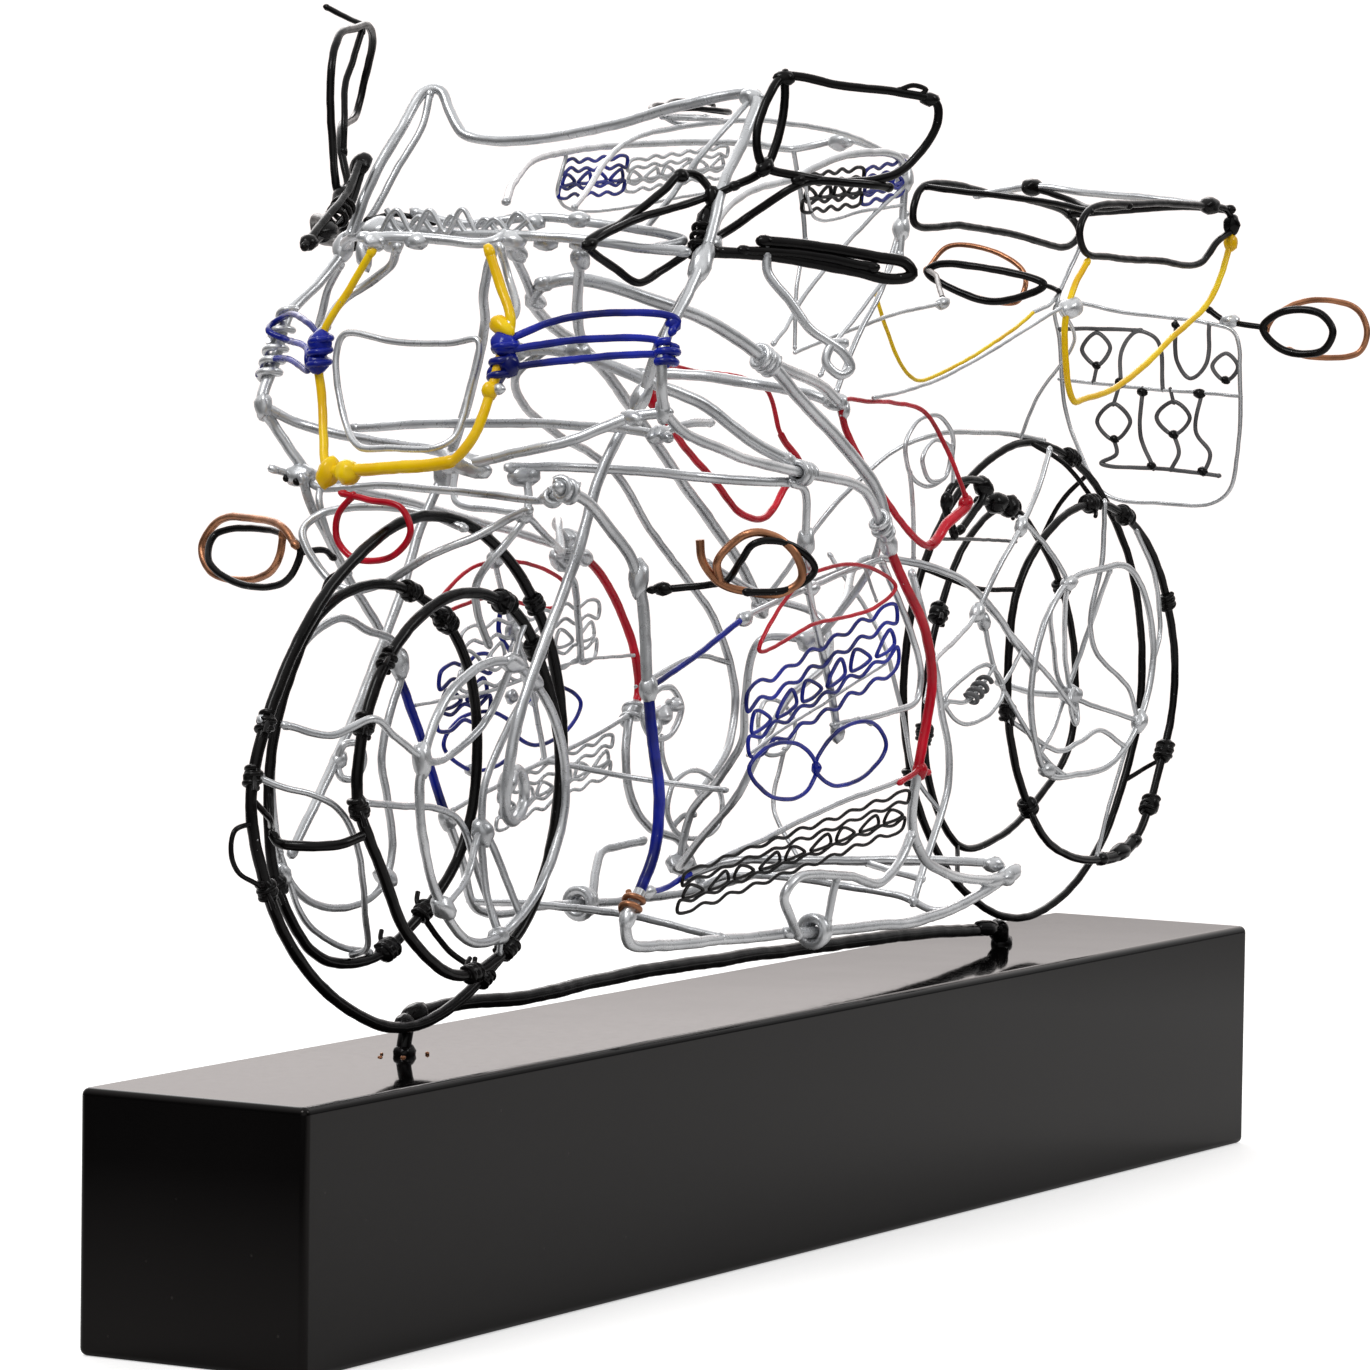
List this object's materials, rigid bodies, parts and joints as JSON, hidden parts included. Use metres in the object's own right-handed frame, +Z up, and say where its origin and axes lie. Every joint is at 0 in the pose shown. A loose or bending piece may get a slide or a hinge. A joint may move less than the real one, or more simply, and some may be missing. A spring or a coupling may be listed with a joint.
{
  "type": "wire sculpture",
  "caption": "Hand-bent painted wire motorcycle with full fairing, mirrors and indicators, standing on a long glossy black plinth.",
  "frame": {"origin": "middle of the plinth's underside", "axes": "+Z up, +X along the plinth towards the motorcycle's tail, -Y the motorcycle's left side"},
  "size_m": [0.4014, 0.1467, 0.2536],
  "materials": {
    "silver": "satin enamel over aluminium wire, brushed by handling",
    "black": "gloss black enamel on wire",
    "red": "gloss red enamel on wire",
    "blue": "gloss dark blue enamel on wire",
    "yellow": "gloss yellow enamel on wire",
    "plinth": "polished black lacquer"
  },
  "bodies": {
    "root": {"plinth": "plinth", "stand_wire": "black", "front_tyre": "black", "rear_tyre": "black", "screen_frame": "silver", "fairing_left_front_wire": "silver", "fairing_left_rear_wire": "red", "fairing_right_front_wire": "silver", "fairing_right_rear_wire": "red", "lamp_frame": "yellow", "dash_bars": "silver", "fork_left": "silver", "fork_right": "silver", "nose_rim": "silver", "nose_cross_bar": "silver", "chin_bar": "silver", "chin_loop": "silver", "lamp_inner_rim": "silver", "number_oval": "red", "strap_left": "blue", "strap_right": "blue", "grip_left": "black", "grip_right": "black", "lever_left": "silver", "lever_right": "silver", "mirror_left": "black", "mirror_bracket_left": "black", "mirror_right": "black", "frame_head_spar": "silver", "frame_lower_spar": "silver", "frame_mid_bar": "silver", "tank_frame": "silver", "side_panel_left": "red", "side_panel_right": "red", "seat_frame": "black", "seat_rail_left": "silver", "seat_rail_right": "silver", "tail_edge_left": "yellow", "tail_edge_right": "yellow", "plate_frame": "silver", "indicator_front_left": "black", "indicator_front_right": "black", "indicator_rear_left": "black", "indicator_rear_right": "black", "foot_peg_left": "silver", "foot_peg_right": "silver", "fairing_left_upper_stays": "silver", "fairing_left_lower_stay": "silver", "badge_left_upper": "red", "badge_left_lower": "blue", "fairing_right_stays": "silver", "badge_right_upper": "red", "badge_right_lower": "blue", "front_rim_left": "silver", "front_rim_right": "silver", "rear_rim": "silver", "wheel_black_box": "black", "engine_head": "silver", "exhaust": "silver"}
  },
  "joints": []
}
